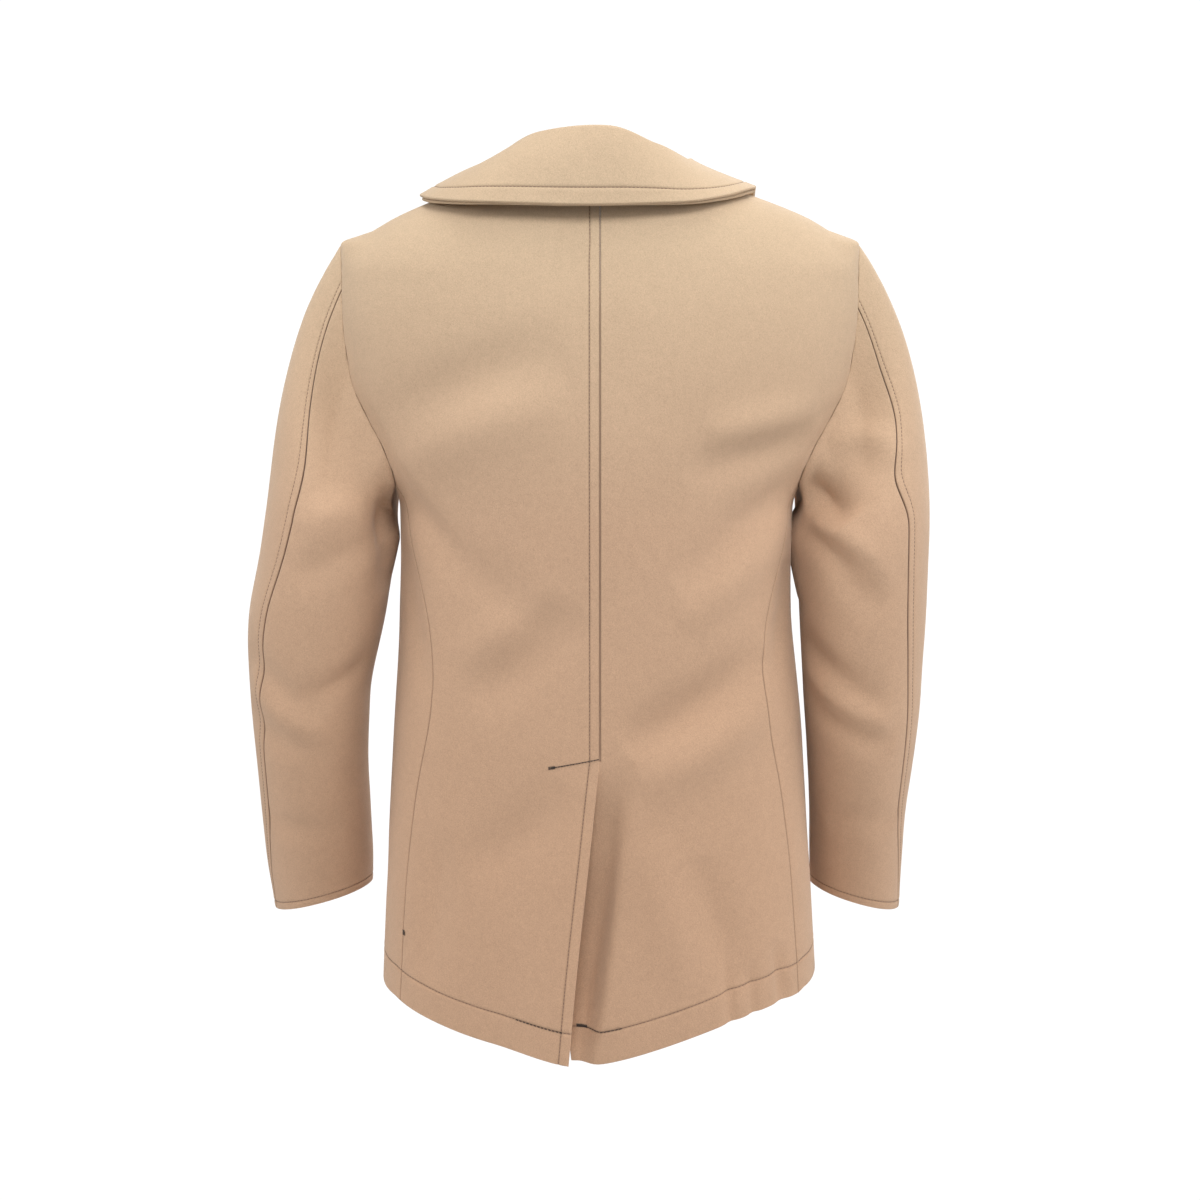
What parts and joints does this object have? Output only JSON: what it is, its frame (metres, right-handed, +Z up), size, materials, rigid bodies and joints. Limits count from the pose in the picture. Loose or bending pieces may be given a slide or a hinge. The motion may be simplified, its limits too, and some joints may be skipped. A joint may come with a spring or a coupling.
{
  "type": "pea coat",
  "caption": "Double-breasted wool pea coat, filled out as worn and hollow, with a broad turned-down collar, set-in two-piece sleeves, a centre-back vent and buttons down the front.",
  "frame": {"origin": "middle of the neck opening, level with the seam that joins the collar to the body", "axes": "+Z up the coat towards the collar, +Y towards the back, +X towards the wearer's left; the coat faces -Y"},
  "size_m": [0.6308, 0.2829, 0.8262],
  "materials": {
    "cloth": "tan wool melton, heavy, brushed to a short nap",
    "button": "dark brown, smooth"
  },
  "bodies": {
    "root": {"back_left": "cloth", "back_right": "cloth", "front_left": "cloth", "front_right": "cloth", "sleeve_top_left": "cloth", "sleeve_top_right": "cloth", "sleeve_under_left": "cloth", "sleeve_under_right": "cloth", "lapel_left": "cloth", "lapel_right": "cloth", "pocket_welt_left": "cloth", "pocket_welt_right": "cloth", "collar_stand": "cloth", "collar_top": "cloth", "collar_under": "cloth", "button_left_1": "button", "button_left_2": "button", "button_left_3": "button", "button_right_1": "button", "button_right_2": "button", "button_right_3": "button"}
  },
  "joints": []
}
